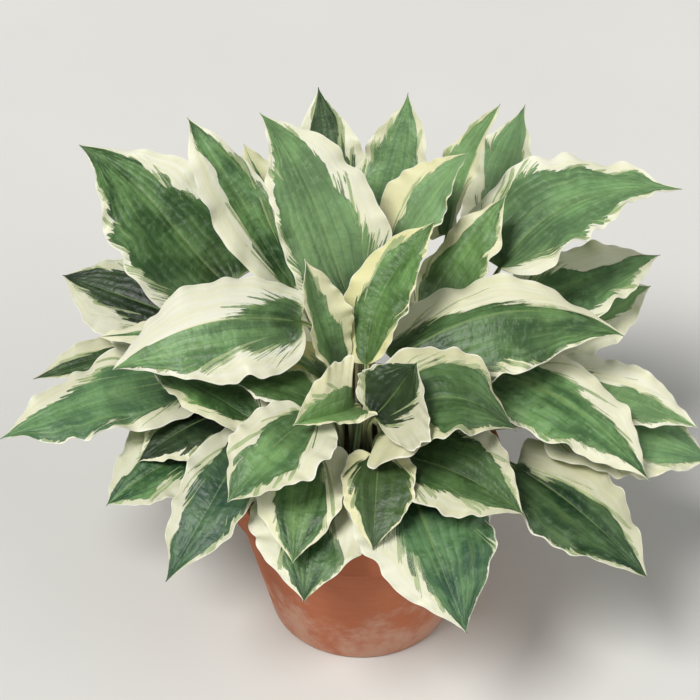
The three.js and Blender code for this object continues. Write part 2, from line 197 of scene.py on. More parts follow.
# What an ordinary leaf has besides its place and size. The row of a leaf names what differs.
# sweep: how far the midrib is drawn sideways, near the heel and near the tip.
# lean: (roll, fold, curl). wave: height of the edge's waves.
# peak: where the blade is widest, 1 for the middle and less for nearer the heel.
# lobe: how far the heel's lobes reach back, as a share of the length.
# skew: how much wider one side is. bend: how straight the stalk runs into the heel.
# drip: how much the end of the tip is narrowed.
# cream: how yellow the white is. Next, how light the white is: its own tone and painted shade.
# hue: 1 for yellowish to -1 for bluish green. shade: the green's own lightness plus painted light and
# shade.
# strokes: how long the green strokes over the white are.
ORDINARY = dict(sweep=(0, 0), lean=(0, 10, -16), wave=4, peak=0.72, lobe=0.15, skew=0, bend=0.3,
                drip=0, cream=0.2, pallor=1.0, hue=0.0, shade=1.0, strokes=0.5)

# The names that the leaf's material reads as they are.
LOOKS = ("cream", "hue", "shade", "pallor", "strokes")


def row(foot, heel, tip, width, arch, left, right, **special):
    """A leaf. Its stalk stands at foot, its blade's midrib runs from heel to tip, with heights
    above the soil, and arch is how far that is drawn up near each end. Left and right are how many
    hundredths of that half are green, at the five places of SHARES_AT."""
    return dict(ORDINARY, foot=foot, heel=heel, tip=tip, width=width, arch=arch, left=left,
                right=right, **special)


LEAVES = [
    row((-36, 34), (-135, 135, 120), (-290, 250, 215), 146, (14, 10), (70, 90, 90, 85, 90),
        (90, 95, 50, 45, 75), sweep=(12, -22), lean=(-12, 8, -10), wave=6, peak=0.6, cream=0.1, hue=0.2,
        shade=0.8, strokes=0.2),
    row((-20, 36), (-70, 110, 140), (-175, 225, 265), 72, (10, 5), (50, 35, 30, 20, 70),
        (90, 65, 75, 80, 65), sweep=(8, 0), lean=(-6, 14, -10), wave=5, peak=1.0, skew=0.1, shade=1.1,
        strokes=1.0),
    row((-6, 26), (-15, 75, 155), (-100, 180, 300), 120, (8, 4), (80, 90, 90, 85, 75), (95, 65, 50, 45, 65),
        sweep=(-4, -22), lean=(0, 12, -14), peak=0.7, lobe=0.08, skew=-0.1, cream=0.15, hue=0.1, shade=1.5,
        strokes=0.8),
    row((-20, 13), (-60, 35, 155), (-240, 0, 125), 122, (40, 34), (65, 60, 75, 80, 80), (65, 10, 0, 0, 10),
        lean=(-22, -12, -14), lobe=0.1, cream=0.1, pallor=0.95, hue=0.1, shade=1.2, strokes=0.7),
    row((-10, 6), (-25, 15, 115), (-55, 45, 225), 66, (0, 0), (70, 75, 60, 75, 80), (80, 60, 35, 30, 30),
        sweep=(6, 6), lean=(8, 30, -5), wave=3, peak=0.85, lobe=0.02, cream=0.5, hue=0.1, shade=1.6),
    row((1, 13), (5, 15, 120), (70, 85, 240), 70, (10, 4), (50, 65, 50, 60, 50), (70, 80, 95, 95, 75),
        sweep=(26, 16), lean=(0, 16, -16), wave=3, peak=0.8, lobe=0.04, cream=0.8, hue=0.4),
    row((18, 24), (65, 120, 110), (145, 170, 210), 70, (6, 2), (65, 70, 45, 45, 60), (90, 95, 90, 75, 75),
        sweep=(4, 4), lean=(10, 10, -10), wave=5, skew=-0.3, cream=0.5, hue=0.4, shade=1.2),
    row((8, 38), (30, 150, 155), (105, 185, 250), 90, (6, 2), (20, 10, 40, 30, 70), (90, 95, 95, 95, 90),
        sweep=(16, 10), lean=(6, 14, -10), wave=3, peak=0.6, skew=-0.1, cream=0.6, hue=-0.2, shade=1.9),
    row((2, 54), (12, 188, 125), (47, 266, 268), 86, (4, 2), (60, 65, 75, 65, 60), (60, 60, 65, 65, 70),
        sweep=(-2, -10), lean=(0, 14, -14), wave=6, bend=0.12, cream=0.3, pallor=0.9, hue=-0.1, shade=1.5,
        strokes=0.8),
    row((22, 0), (30, 25, 115), (255, 45, 130), 132, (52, 58), (55, 30, 20, 20, 45), (50, 70, 85, 95, 90),
        sweep=(8, 8), lean=(18, -18, -10), wave=5, cream=0.3, hue=0.2, shade=0.8, strokes=0.2),
    row((32, 24), (140, 140, 140), (325, 200, 195), 146, (42, 30), (65, 85, 75, 50, 70),
        (55, 95, 85, 70, 75), sweep=(24, 22), lean=(0, 10, -8), wave=6, peak=0.52, lobe=0.05, skew=0.12,
        drip=0.65, cream=0.15, hue=-0.1, shade=1.5),
    row((44, 32), (165, 140, 85), (310, 195, 115), 100, (12, 8), (60, 60, 20, 20, 60), (80, 80, 85, 70, 45),
        lean=(8, 10, -16), hue=-0.1, shade=1.4),
    row((58, 28), (175, 125, 50), (305, 200, 70), 104, (14, 10), (40, 50, 50, 50, 60), (50, 45, 40, 60, 40),
        lean=(8, 8, -16), wave=3, hue=0.1, shade=1.9),
    row((-10, 62), (-25, 190, 110), (-45, 305, 250), 96, (4, 2), (60, 60, 60, 60, 45), (60, 60, 60, 60, 80),
        lean=(0, 12, -14), bend=0.12, cream=0.15, hue=0.2, shade=0.4),
    row((34, 52), (135, 275, 80), (170, 295, 235), 104, (4, 2), (40, 40, 70, 80, 85), (60, 60, 55, 55, 75),
        sweep=(-8, -8), lean=(0, 12, -10), bend=0.12, hue=-0.4, shade=1.8),
    row((20, 50), (90, 210, 130), (140, 250, 265), 60, (2, -4), (50, 60, 75, 80, 70), (60, 60, 50, 30, 45),
        sweep=(18, 12), lean=(-10, 26, -10), wave=3, bend=0.12, cream=0.5, shade=1.9),
    row((-22, 58), (-75, 180, 135), (-120, 230, 230), 70, (4, 2), (30, 25, 20, 10, 5), (30, 25, 20, 10, 5),
        lean=(0, 16, -10), bend=0.12, cream=0.5),
    row((-50, 34), (-165, 115, 85), (-310, 180, 100), 112, (14, 10), (60, 50, 45, 35, 40),
        (85, 80, 65, 60, 80), sweep=(8, 8), lean=(-22, 8, -16), pallor=0.8, hue=0.2, shade=0.2,
        strokes=0.2),
    row((-60, 24), (-195, 115, 50), (-335, 85, 40), 60, (18, 14), (50, 50, 60, 65, 90),
        (40, 35, 30, 25, 35), lean=(-10, 8, -14), wave=3, cream=0.3, pallor=0.8, hue=0.3, shade=0.4),
    row((-38, 20), (-135, 70, 100), (-265, 85, 95), 50, (14, 12), (60, 50, 40, 25, 30), (50, 30, 15, 5, 5),
        lean=(0, 8, -14), wave=3, cream=0.3),
    row((-58, 10), (-170, 60, 60), (-360, 5, 30), 112, (22, 18), (70, 70, 95, 95, 90), (70, 70, 55, 25, 40),
        lean=(-2, 6, -16), wave=6, cream=0.25, pallor=0.9, hue=-0.3, shade=1.3),
    row((-52, -2), (-135, 25, 48), (-220, -25, 28), 96, (14, 10), (80, 75, 65, 60, 60),
        (60, 50, 45, 45, 50), wave=3, cream=0.3, shade=0.2, strokes=0.2),
    row((-58, -12), (-155, -5, 26), (-250, -60, 2), 108, (16, 12), (50, 50, 50, 80, 60),
        (50, 45, 40, 35, 55), lean=(0, 14, -16), wave=3, pallor=0.8, hue=-0.1, shade=0.9),
    row((-44, -22), (-110, -35, 65), (-185, -160, 0), 80, (22, 16), (70, 85, 95, 80, 80),
        (50, 55, 65, 55, 85), sweep=(8, 8), lean=(0, 12, -18), wave=5, pallor=0.8, hue=-0.5, shade=0.6,
        strokes=0.3),
    row((-22, -24), (-50, -55, 110), (-125, -135, 80), 100, (18, 12), (40, 50, 65, 70, 75),
        (60, 45, 35, 60, 80), lean=(0, 14, -16), lobe=0.08, skew=0.14, cream=0.25, pallor=0.85, hue=0.1,
        shade=1.1, strokes=0.3),
    row((-13, -40), (-45, -60, 70), (-65, -170, 35), 88, (16, 10), (40, 40, 60, 80, 90),
        (50, 50, 55, 55, 70), lean=(0, 12, -14), skew=-0.12, cream=0.3, hue=0.2, shade=0.8, strokes=0.3),
    row((-20, -52), (-45, -70, 45), (-55, -190, 5), 116, (14, 10), (30, 30, 35, 80, 75),
        (50, 50, 50, 60, 60), wave=5, cream=0.15, hue=0.1, shade=0.7, strokes=0.3),
    row((-36, -6), (-110, -25, 85), (-210, 45, 90), 66, (12, 8), (50, 75, 70, 80, 85), (70, 85, 80, 80, 85),
        lean=(0, 14, -14), wave=3, cream=0.3, hue=0.2, strokes=0.3),
    row((-22, -8), (-40, -15, 95), (-125, 0, 110), 58, (10, 8), (70, 85, 80, 80, 80), (70, 90, 95, 95, 90),
        lean=(0, 12, -14), wave=2, cream=0.15, hue=0.3, shade=0.7, strokes=0.3),
    row((-29, 5), (-40, 42, 80), (-95, 45, 112), 54, (8, 6), (50, 35, 20, 10, 10), (60, 40, 25, 15, 10),
        lean=(-10, 22, -10), wave=2, cream=1.0, hue=0.8, shade=1.5, strokes=0.3),
    row((-9, -21), (-8, -50, 122), (-65, -85, 130), 78, (-4, 4), (70, 75, 85, 85, 80), (45, 50, 45, 55, 50),
        lean=(-25, 50, -20), wave=3, peak=0.48, lobe=0.25, skew=-0.3, bend=0.12, cream=0.5, pallor=0.9,
        hue=0.7, shade=1.5, strokes=0.2),
    row((9, -4), (11, -62, 122), (50, -46, 173), 102, (-4, 0), (60, 80, 95, 95, 90), (50, 40, 50, 60, 80),
        lean=(26, 26, -12), wave=3, lobe=0.06, skew=-0.3, bend=0.1, cream=0.3, pallor=0.7, hue=0.4,
        shade=0.3, strokes=0.2),
    row((16, -22), (20, -55, 95), (145, -60, 100), 116, (62, 54), (35, 50, 70, 70, 70),
        (30, 30, 85, 80, 85), lean=(12, 10, -16), wave=6, lobe=0.32, skew=0.1, cream=0.5, pallor=0.8,
        hue=0.2, shade=0.6, strokes=0.2),
    row((28, -30), (45, -65, 70), (150, -120, 50), 108, (16, 14), (70, 80, 65, 60, 60),
        (60, 60, 55, 55, 60), lean=(12, 14, -10), cream=0.3, pallor=0.85, hue=0.3, shade=0.6, strokes=0.2),
    row((5, -46), (15, -75, 78), (9, -163, 46), 70, (12, 8), (50, 90, 90, 95, 90), (50, 80, 70, 60, 60),
        lean=(0, 20, -20), wave=2, skew=0.06, cream=0.6, hue=0.6, shade=0.4, strokes=0.2),
    row((24, -46), (45, -85, 50), (95, -220, -5), 136, (20, 12), (80, 95, 95, 95, 95), (60, 55, 35, 40, 55),
        sweep=(-4, -4), lean=(0, 8, -14), peak=0.58, cream=0.15, pallor=0.95, hue=-0.4, shade=0.8,
        strokes=0.2),
    row((50, -22), (150, -35, 30), (270, -145, -10), 106, (18, 14), (10, 25, 45, 45, 40),
        (60, 95, 95, 95, 75), lean=(4, 10, -16), wave=5, cream=0.3, pallor=0.75, shade=0.5, strokes=0.2),
    row((36, 8), (135, 35, 90), (275, -70, 45), 100, (24, 20), (60, 50, 40, 35, 40), (80, 95, 90, 60, 40),
        sweep=(8, 8), lean=(6, 4, -16), cream=0.25, shade=1.1, strokes=0.2),
    row((50, 18), (200, 60, 65), (330, 0, 50), 78, (16, 12), (20, 5, 15, 25, 10), (60, 70, 85, 85, 50),
        lean=(8, 4, -14), wave=3, hue=0.1, shade=1.7, strokes=1.0),
    row((58, -4), (190, 10, 45), (350, -5, 10), 120, (16, 12), (60, 70, 75, 80, 70), (60, 60, 60, 70, 70),
        lean=(4, 8, -14), cream=0.25, hue=-0.4, shade=1.6),
    row((-30, 68), (-22, 115, 45), (-50, 280, 20), 100, (20, 18), (55, 50, 55, 60, 70),
        (60, 60, 55, 60, 70), cream=0.25, hue=-0.2),
    row((26, 66), (60, 125, 40), (120, 260, 20), 108, (20, 18), (50, 45, 50, 60, 70), (70, 70, 75, 70, 75),
        cream=0.25, hue=-0.2),
    row((-42, 50), (-90, 105, 25), (-185, 225, 5), 96, (20, 18), (70, 60, 60, 65, 75), (50, 50, 55, 60, 70),
        cream=0.25, hue=-0.1),
    row((54, 44), (115, 95, 30), (240, 195, 5), 100, (18, 16), (60, 55, 60, 60, 70), (70, 65, 60, 60, 75),
        cream=0.25, hue=-0.2),
    row((6, 70), (10, 130, 65), (20, 290, 60), 92, (20, 18), (70, 70, 65, 70, 80), (50, 45, 50, 55, 70),
        cream=0.25, hue=-0.1),
]


def linear(red, green, blue, alpha=1.0):
    """A colour in the usual steps of 0 to 255 as the shader's own numbers: c / 12.92 near black
    and ((c + 0.055) / 1.055)^2.4 above it, where c is the share of 255."""
    shares = np.array([red, green, blue]) / 255
    lit = np.where(shares <= 0.04045, shares / 12.92, ((shares + 0.055) / 1.055) ** 2.4)
    return (*lit.tolist(), alpha)


# Shader maths


def operator(operation, swapped=False):
    """A method for one of Python's operators, which adds the Math node of that operation."""
    def method(self, other):
        """The node's result, from the two sides in their order or swapped."""
        sides = (other, self) if swapped else (self, other)
        return self.shader.math(operation, *sides)
    return method


class Value:
    """A shader socket that takes part in arithmetic."""

    __add__ = __radd__ = operator("ADD")
    __sub__ = operator("SUBTRACT")
    __rsub__ = operator("SUBTRACT", swapped=True)
    __mul__ = __rmul__ = operator("MULTIPLY")
    __truediv__ = operator("DIVIDE")
    __pow__ = operator("POWER")

    def __init__(self, shader, socket):
        """The value of a socket in the shader's tree."""
        self.shader = shader
        self.socket = socket

    def __neg__(self):
        """The value times -1."""
        return self * -1


class Shader:
    """A material's node tree, built by expressions."""

    def __init__(self, name):
        """An empty tree in a new material."""
        self.material = bpy.data.materials.new(name)
        self.material.use_nodes = True
        self.tree = self.material.node_tree
        self.tree.nodes.clear()

    def node(self, kind, settings=None, **sockets):
        """Adds a node: its settings come first, then the values or links of its sockets."""
        made = self.tree.nodes.new(kind)
        for name, value in (settings or {}).items():
            setattr(made, name, value)
        for name, value in sockets.items():
            self.feed(made.inputs[name.replace("_", " ")], value)
        return made

    def value(self, kind, settings=None, **sockets):
        """The first output of a new node, for use in expressions."""
        return Value(self, self.node(kind, settings, **sockets).outputs[0])

    def feed(self, socket, value):
        """Links a value to a socket, or sets the socket to a plain number or colour."""
        if isinstance(value, Value):
            self.tree.links.new(value.socket, socket)
        elif isinstance(value, bpy.types.NodeSocket):
            self.tree.links.new(value, socket)
        else:
            socket.default_value = value

    def math(self, operation, *values):
        """The result of one Math node."""
        made = self.node("ShaderNodeMath", {"operation": operation})
        for socket, value in zip(made.inputs, values):
            self.feed(socket, value)
        return Value(self, made.outputs[0])

    def clamp(self, value):
        """The value, kept between 0 and 1."""
        return self.value("ShaderNodeClamp", Value=value)

    def step(self, value, low, high):
        """0 below low, 1 above high and a smooth rise between them."""
        return self.value("ShaderNodeMapRange", {"interpolation_type": "SMOOTHSTEP"},
                          Value=value, From_Min=low, From_Max=high)

    def attribute(self, name):
        """The number that the mesh carries under this name at each point."""
        made = self.node("ShaderNodeAttribute", {"attribute_name": name})
        return Value(self, made.outputs["Fac"])

    def place(self, scale=(1, 1, 1)):
        """The object's own coordinates in metres, each times a scale."""
        coordinates = self.node("ShaderNodeTexCoord").outputs["Object"]
        return self.node("ShaderNodeMapping", Vector=coordinates, Scale=scale).outputs[0]

    def vector(self, x, y, z):
        """Three numbers as one vector."""
        return self.node("ShaderNodeCombineXYZ", X=x, Y=y, Z=z).outputs[0]

    def noise(self, vector, scale=1.0, detail=2.0, roughness=0.5):
        """A smooth random number about 0.5 at each place."""
        return self.value("ShaderNodeTexNoise", Vector=vector, Scale=scale, Detail=detail,
                          Roughness=roughness)

    def white(self, vector):
        """A number between 0 and 1 that is another one at each place."""
        return self.value("ShaderNodeTexWhiteNoise", Vector=vector)

    def mix(self, factor, first, second, blend="MIX"):
        """The first colour where factor is 0 and the second where it is 1."""
        made = self.node("ShaderNodeMix", {"data_type": "RGBA", "blend_type": blend})
        self.feed(made.inputs["Factor"], factor)
        self.feed(made.inputs[6], first)
        self.feed(made.inputs[7], second)
        return made.outputs[2]

    def bump(self, height, distance, strength):
        """The normals of a surface that is raised by height times distance, in metres."""
        return self.node("ShaderNodeBump", Strength=strength, Distance=distance, Height=height).outputs[0]

    def finish(self, **sockets):
        """Ends the tree in a Principled surface with these sockets."""
        surface = self.node("ShaderNodeBsdfPrincipled", **sockets)
        self.node("ShaderNodeOutputMaterial", Surface=surface.outputs[0])
        return self.material


# Meshes


def unit(vectors):
    """Vectors made one long."""
    return vectors / np.maximum(np.linalg.norm(vectors, axis=-1, keepdims=True), 1e-12)


def placed(name, data):
    """A new object with this data, in the scene."""
    made = bpy.data.objects.new(name, data)
    bpy.context.scene.collection.objects.link(made)
    return made


def make_object(name, points, faces, material, sharp=60):
    """A smooth-shaded object from points in millimetres and faces, each face a list of indices.
    Edges that turn by more than so many degrees are sharp."""
    mesh = bpy.data.meshes.new(name)
    mesh.from_pydata(points * MM, [], faces)
    mesh.shade_smooth()
    mesh.set_sharp_from_angle(angle=math.radians(sharp))
    mesh.materials.append(material)
    return placed(name, mesh)


def add_attribute(piece, name, values):
    """Gives each of the piece's points its own number."""
    data = piece.data.attributes.new(name, "FLOAT", "POINT")
    data.data.foreach_set("value", np.ascontiguousarray(values, np.float32).ravel())


def grid_faces(rows, columns, around=False):
    """The squares of a grid of points, row by row. With around, the last column joins the first."""
    across = np.arange(columns if around else columns - 1)
    i, j = np.meshgrid(np.arange(rows - 1), across, indexing="ij")
    a = i * columns + j
    b = i * columns + (j + 1) % columns
    return np.stack([a, b, b + columns, a + columns], -1).reshape(-1, 4)


def shell_faces(rows, columns):
    """The faces of two equal grids of points, one above the other, and the rim round them."""
    count = rows * columns
    grid = grid_faces(rows, columns)
    index = np.arange(count).reshape(rows, columns)
    rim = np.concatenate([index[0, :-1], index[:-1, -1], index[-1, :0:-1], index[:0:-1, 0]])
    following = np.roll(rim, -1)
    sides = np.stack([rim, following, following + count, rim + count], -1)
    return np.concatenate([grid[:, ::-1], grid + count, sides]).tolist()


def closed_rings(name, rings, pole_heights, material, sharp=60, downward=False):
    """A closed body from rings of points round the axis, which run up, or downward. Fans of
    triangles about two poles on the axis close the first and the last ring."""
    rows, columns = rings.shape[:2]
    poles = np.stack([np.zeros(2), np.zeros(2), pole_heights], -1)
    points = np.concatenate([rings.reshape(-1, 3), poles])
    first = np.arange(columns)
    following = np.roll(first, -1)
    last = (rows - 1) * columns
    pole = np.full(columns, rows * columns)
    start = np.stack([pole, following, first], -1)
    end = np.stack([pole + 1, first + last, following + last], -1)
    turn = -1 if downward else 1
    squares = grid_faces(rows, columns, around=True)[:, ::turn]
    fans = np.concatenate([start, end])[:, ::turn]
    return make_object(name, points, [*squares.tolist(), *fans.tolist()], material, sharp)


def mount(piece, slot, *nodes):
    """Lets the piece ride with the solids and stand for the named nodes."""
    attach(piece, "root")
    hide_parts(*nodes)
    return piece


# Leaves


def curve_at(p, t):
    """Point and unit direction of the cubic curve with the four control points p, at each t:
    the points weighted by u3, 3u2t, 3ut2 and t3, where u is 1 - t."""
    t = t[..., None]
    u = 1 - t
    place = u**3 * p[0] + 3 * u * u * t * p[1] + 3 * u * t * t * p[2] + t**3 * p[3]
    ahead = u * u * (p[1] - p[0]) + 2 * u * t * (p[2] - p[1]) + t * t * (p[3] - p[2])
    return place, unit(ahead)


def read_leaf(leaf, number):
    """Adds a leaf's two midlines. The blade's is drawn up by its arch and sideways by its sweep at
    a third and two thirds. The stalk's rises from the foot and runs into the heel as the blade
    goes on."""
    heel = np.array(leaf["heel"], float)
    tip = np.array(leaf["tip"], float)
    base = np.array([*leaf["foot"], 0.0])
    chord = tip - heel
    along = unit(chord)
    side = unit(np.cross([0, 0, 1], along))
    upward = np.cross(along, side)
    thirds = [heel + chord * (k + 1) / 3 + upward * leaf["arch"][k] + side * leaf["sweep"][k]
              for k in (0, 1)]
    reach = np.linalg.norm(heel - base)
    risen = base + np.array([0, 0, STALK_RISE * reach])
    before_heel = heel - leaf["bend"] * reach * unit(thirds[0] - heel)
    return dict(leaf, blade=[heel, *thirds, tip], stalk=[base, risen, before_heel, heel], side=side,
                length=np.linalg.norm(chord), phase=LEAF_TO_LEAF_SHIFT * number, number=number,
                veins=max(4, round(leaf["width"] / 2 / VEIN_SPACING)))


def edge_wave(leaf, wave, t, v):
    """A sine wave along the blade's edge, sin(2 pi n t + m s): n beats to a blade, and a start s
    that differs from leaf to leaf and from edge to edge, times m."""
    beats, move = wave
    start = leaf["phase"] + np.where(v > 0, 0, OTHER_EDGE_SHIFT)
    return np.sin(TAU * beats * t + move * start)


def leaf_half(leaf, q, v):
    """Half the leaf's width, at the stalk and along the blade, where it is sin(pi t^peak), drawn
    out to the tip and scalloped by two waves. A drip narrows the last part of the tip."""
    t = np.maximum(q, 0)
    sine = np.sin(np.pi * t ** leaf["peak"]).clip(0)
    widest = leaf["width"] / 2 * (1 + leaf["skew"] * np.sign(v))
    drip = leaf["drip"] * ((t - DRIP_START) / DRIP_LENGTH).clip(0, 1)
    blade = widest * sine ** (BLADE_FULLNESS + TIP_DRAW * t**4) * (1 - drip)
    on_blade = np.maximum(blade + STALK_HALF_WIDTH * (1 - t) ** 6, SMALLEST_HALF_WIDTH)
    on_stalk = STALK_HALF_WIDTH * (1 - STALK_FLARE * np.minimum(q, 0))
    fine = FINE_SCALLOP_SHARE * edge_wave(leaf, FINE_SCALLOPS, t, v)
    depth = SCALLOP_SHARE * np.sin(np.pi * t).clip(0) ** 0.5
    return np.where(q < 0, on_stalk, on_blade * (1 + depth * (edge_wave(leaf, SCALLOPS, t, v) + fine)))


def leaf_lobe(leaf, q, v):
    """How far a point is swept back to form the heel's lobes: x exp(1 - x) near the heel."""
    near = np.maximum(q, 0) / LOBE_PLACE
    return leaf["length"] * leaf["lobe"] * near * np.exp(1 - near) * np.abs(v) ** LOBE_POWER


def leaf_frame(leaf, q):
    """The midline's place at q and three directions there: ahead along it, left across it and the
    normal. Left is level, but for the roll, which grows along the stalk."""
    on_stalk = (q < 0)[..., None]
    grown = np.minimum(q + 1, 1)
    blade_place, blade_ahead = curve_at(leaf["blade"], np.maximum(q, 0))
    stalk_place, stalk_ahead = curve_at(leaf["stalk"], grown)
    place = np.where(on_stalk, stalk_place, blade_place)
    ahead = np.where(on_stalk, stalk_ahead, blade_ahead)
    level = unit(leaf["side"] - (ahead @ leaf["side"])[..., None] * ahead)
    above = np.cross(ahead, level)
    turn = (math.radians(leaf["lean"][0]) * grown)[..., None]
    left = np.cos(turn) * level + np.sin(turn) * above
    normal = np.cos(turn) * above - np.sin(turn) * level
    return place, ahead, left, normal


def leaf_arc(leaf, q, v):
    """How far to the left and how far up each half of the leaf has come at v. It is an arc as long
    as the half is wide, which leaves the midline at the fold angle and turns by the curl angle."""
    on_stalk = q < 0
    t = np.maximum(q, 0)
    full_fold, full_curl = (math.radians(x) for x in leaf["lean"][1:])
    opening = np.exp(-t / HEEL_LENGTH)
    fold = np.where(on_stalk, HEEL_FOLD, full_fold + (HEEL_FOLD - full_fold) * opening)
    curl = np.where(on_stalk, 0, full_curl * np.minimum(t / CURL_START, 1)) + SMALLEST_CURL
    end = fold + curl * np.abs(v)
    half = leaf_half(leaf, q, v)
    across = half * (np.sin(end) - np.sin(fold)) / curl
    rise = half * (np.cos(fold) - np.cos(end)) / curl
    return across * np.sign(v), rise


def edge_height(leaf, q, v):
    """How far the waves lift the blade: |v|^power times a long wave and a ripple, and a fine frill
    close to the edge, all of them greatest half way along the blade."""
    t = np.maximum(q, 0)
    out = np.abs(v)
    swell = np.sin(np.pi * t).clip(0) ** SWELL_POWER
    waves = edge_wave(leaf, WAVES, t, v) + RIPPLE_SHARE * edge_wave(leaf, RIPPLES, t, v)
    frill = FRILL_HEIGHT * leaf["width"] / FULL_WIDTH * out**FRILL_POWER * edge_wave(leaf, FRILLS, t, v)
    return swell * (leaf["wave"] * out**EDGE_POWER * waves + frill)


def ridge_height(leaf, q, v):
    """How far the low round ridges between the veins stand up: |sin(pi n v)|^roundness, with n
    veins to a half. They fade out at the heel, the tip and the edge, and in the white."""
    t = np.maximum(q, 0)
    out = np.abs(v)
    ridge = np.abs(np.sin(np.pi * out * leaf["veins"])) ** RIDGE_ROUNDNESS - 0.5
    white = ((out - green_share(leaf, q, v)) / WHITE_FADE).clip(0, 1)
    ends = np.minimum(t / RELIEF_START, 1) * (1 - t) ** RELIEF_TIP_POWER
    fade = ends * (1 - RELIEF_LOST_AT_EDGE * out**6) * (1 - RELIEF_LOST_IN_WHITE * white)
    return VEIN_RELIEF * min(leaf["width"] / FULL_WIDTH, 1) * ridge * fade


def leaf_middle(leaf, q, v):
    """The leaf's middle surface: q runs along it (-1 soil, 0 heel, 1 tip), v across it (-1 to 1).
    Its two arcs are swept back by the heel's lobes, and lifted by the waves and the ridges."""
    place, ahead, left, normal = leaf_frame(leaf, q)
    across, rise = leaf_arc(leaf, q, v)
    back = leaf_lobe(leaf, q, v)
    height = rise + edge_height(leaf, q, v) + ridge_height(leaf, q, v)
    return place - ahead * back[..., None] + left * across[..., None] + normal * height[..., None]


def leaf_thickness(q, v):
    """Stout and round on the stalk, dying away into a blade that thins out at its edge."""
    dying = np.maximum(HEEL_STOUTNESS * (1 - q / STALK_FADE), 0)
    stoutness = np.where(q < 0, np.minimum(HEEL_STOUTNESS - STOUTNESS_RISE * q, 1), dying)
    stalk = STALK_THICKNESS * np.sqrt(1 - STALK_ROUNDNESS * v * v)
    blade = BLADE_THICKNESS * (1 - EDGE_THINNING * np.abs(v) ** 12)
    return blade + stoutness * (stalk - blade)


def green_share(leaf, q, v):
    """How far out from the midrib each half is green: straight lines between its five shares, and
    a rise towards the stalk that leaves the outer part of the heel's lobes as it is."""
    t = np.maximum(q, 0)
    left = np.interp(t, SHARES_AT, leaf["left"]) / 100
    right = np.interp(t, SHARES_AT, leaf["right"]) / 100
    rise = HEEL_GREEN * np.maximum(SHARES_AT[0] - t, 0) * (1 - np.abs(v)) ** 2
    return np.where(v > 0, left, right) + rise


def tooth_lane(leaf, q, v):
    """A number that stays the same along the lines by which the green frays out: they fan out from
    the heel and bend forward. It is y / x^bend, as millimetres half way along the blade, where y
    is the distance from the midrib and x that from the heel, both kept above 0."""
    x = q * leaf["length"] - leaf_lobe(leaf, q, v)
    x = (x + np.sqrt(x * x + LANE_START**2)) / 2
    return np.abs(v) * leaf_half(leaf, q, v) * (leaf["length"] / 2 / x) ** LANE_BEND


def leaf_grid(leaf):
    """The q and v of the leaf's points, closer together near the heel than near the tip. Row 0
    stands at the soil like row 1, so that it can be buried."""
    half_columns = COLUMNS_PER_VEIN * leaf["veins"]
    blade_rows = int(LEAST_BLADE_ROWS + leaf["length"] / BLADE_ROW_STEP)
    stalk = np.linspace(-1, 0, STALK_ROWS + 1)[:-1]
    blade = np.linspace(0, 1, blade_rows) ** ROWS_TO_HEEL
    across = np.linspace(-1, 1, 2 * half_columns + 1)
    return np.meshgrid(np.concatenate([[-1], stalk, blade]), across, indexing="ij")


def leaf_numbers(leaf, q, v):
    """What the leaf's material reads at each point."""
    out = np.abs(v)
    looks = {name: leaf[name] for name in LOOKS}
    return dict(looks, across=v, along=q, room=green_share(leaf, q, v) - out, vein=out * leaf["veins"],
                reach=q * leaf["length"], lane=tooth_lane(leaf, q, v), seed=leaf["number"] * SEED_STEP)


def leaf_piece(leaf, material):
    """The closed mesh of a leaf: its middle surface, half the thickness up and down along its
    normal, and a rim round the two faces. The normal is the cross product of the grid's slopes."""
    q, v = leaf_grid(leaf)
    middle = leaf_middle(leaf, q, v)
    middle[0, :, 2] -= STALK_BURIED
    middle[..., 2] += SOIL_TOP
    normal = unit(np.cross(np.gradient(middle, axis=0), np.gradient(middle, axis=1)))
    offset = normal * (leaf_thickness(q, v) / 2)[..., None]
    points = np.concatenate([(middle + offset).reshape(-1, 3), (middle - offset).reshape(-1, 3)])
    number = leaf["number"]
    piece = make_object(f"leaf_{number:02d}_fine", points, shell_faces(*q.shape), material, sharp=70)
    for name, values in leaf_numbers(leaf, q, v).items():
        add_attribute(piece, name, np.tile(np.broadcast_to(values, q.shape).ravel(), 2))
    add_attribute(piece, "under", np.repeat([0.0, 1.0], q.size))
    grown = "leaf_low" if leaf["heel"][2] < LOW_HEEL else "leaf_upper"
    mount(piece, "leaf_young" if number in YOUNG_LEAVES else grown, f"leaf_{number:02d}")
    return piece


